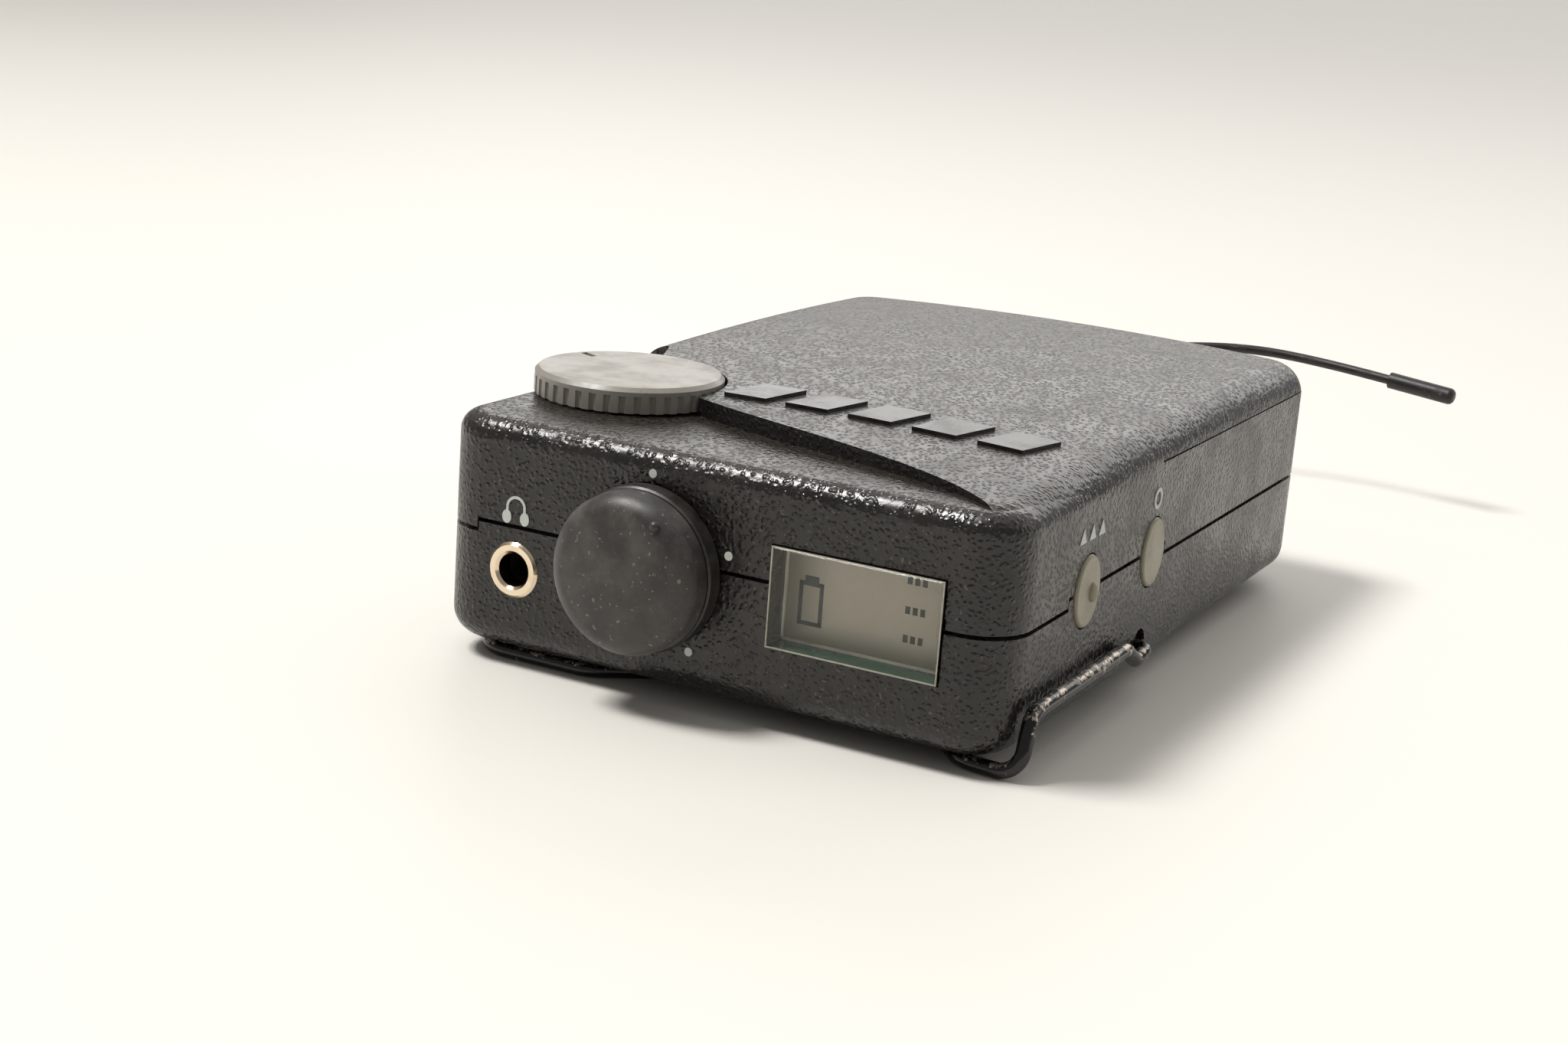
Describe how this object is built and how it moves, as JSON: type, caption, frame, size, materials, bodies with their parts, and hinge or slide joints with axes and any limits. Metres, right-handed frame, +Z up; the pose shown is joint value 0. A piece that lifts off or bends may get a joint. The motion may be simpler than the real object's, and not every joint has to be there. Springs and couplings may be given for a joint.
{
  "type": "wireless bodypack receiver",
  "caption": "Belt-worn wireless receiver pack with a phone jack, volume knob, display window, mix dial, side buttons, wire belt clip, battery door and flexible antenna.",
  "frame": {"origin": "middle of the rigid pieces' footprint, on the surface that the pack lies on", "axes": "+X to the side with the two buttons, +Y away from the control end, +Z up out of the battery door"},
  "size_m": [0.0747, 0.1603, 0.0295],
  "materials": {
    "case_black": "moulded with a leather grain",
    "steel": "ground",
    "screw_black": "blackened",
    "clip_black": "gloss black paint worn to bare metal at the edges",
    "nickel": "nickel plated",
    "moulding_black": "plain moulded",
    "brass": "bare",
    "pot_grey": "pressed steel",
    "knob_rubber": "soft-touch, dusty",
    "lens_clear": "clear acrylic",
    "display_glass": "grey liquid crystal",
    "light_guide": "frosted",
    "board_green": "solder mask",
    "flex_amber": "polyimide film",
    "dial_grey": "moulded",
    "button_beige": "moulded",
    "chip_black": "moulded epoxy",
    "can_aluminium": "bare can",
    "shield_tin": "tin plated",
    "battery_skin": "printed steel can",
    "antenna_rubber": "smooth",
    "print_white": "screen print",
    "badge_black": "gloss moulded"
  },
  "bodies": {
    "case": {"bottom_shell": "case_black", "top_shell": "case_black", "hinge_pin": "steel", "case_screws": "screw_black", "jack_bush": "nickel", "jack_body": "moulding_black", "jack_contacts": "brass", "volume_pot": "pot_grey", "pot_nut": "nickel", "display_lens": "lens_clear", "display_panel": "display_glass", "display_light": "light_guide", "display_board": "board_green", "display_cable": "flex_amber", "mix_pot": "pot_grey", "mix_board": "board_green", "switch_bodies": "moulding_black", "side_board": "board_green", "main_board": "board_green", "board_chips": "chip_black", "board_capacitors": "can_aluminium", "radio_board": "board_green", "radio_posts": "brass", "radio_shield": "shield_tin", "battery": "battery_skin", "battery_terminals": "nickel", "battery_contacts": "nickel", "contact_board": "board_green", "battery_tray": "moulding_black", "antenna_gland": "antenna_rubber", "antenna_whip": "antenna_rubber", "antenna_tip": "antenna_rubber", "level_dots": "print_white", "phone_sign": "print_white", "button_signs": "print_white", "badge": "badge_black"},
    "volume_knob_body": {"volume_knob": "knob_rubber", "knob_skirt": "moulding_black", "volume_shaft": "steel"},
    "mix_dial_body": {"mix_dial": "dial_grey", "mix_shaft": "steel"},
    "scroll_button_body": {"scroll_button": "button_beige", "scroll_plunger": "moulding_black"},
    "select_button_body": {"select_button": "button_beige", "select_plunger": "moulding_black"},
    "battery_door_body": {"battery_door": "case_black"},
    "belt_clip_body": {"belt_clip": "clip_black"}
  },
  "joints": [
    {"name": "volume_turn", "type": "hinge", "parent": "case", "child": "volume_knob_body", "pos_m": [-0.00675, -0.0485, 0.01445], "axis": [0, -1, 0], "range_deg": [-110, 182]},
    {"name": "mix_turn", "type": "hinge", "parent": "case", "child": "mix_dial_body", "pos_m": [-0.0224, -0.0279, 0.02635], "axis": [0, 0, 1], "range_deg": [-140, 140]},
    {"name": "scroll_press", "type": "slide", "parent": "case", "child": "scroll_button_body", "axis": [-1, 0, 0], "range_m": [0, 0.0004], "stiffness_N_per_m": 1500},
    {"name": "select_press", "type": "slide", "parent": "case", "child": "select_button_body", "axis": [-1, 0, 0], "range_m": [0, 0.0004], "stiffness_N_per_m": 1500},
    {"name": "door_hinge", "type": "hinge", "parent": "case", "child": "battery_door_body", "pos_m": [0, 0.047, 0.02655], "axis": [-1, 0, 0], "range_deg": [0, 85]},
    {"name": "clip_swing", "type": "hinge", "parent": "case", "child": "belt_clip_body", "pos_m": [0, -0.01, 0.00505], "axis": [1, 0, 0], "range_deg": [0, 40]}
  ]
}
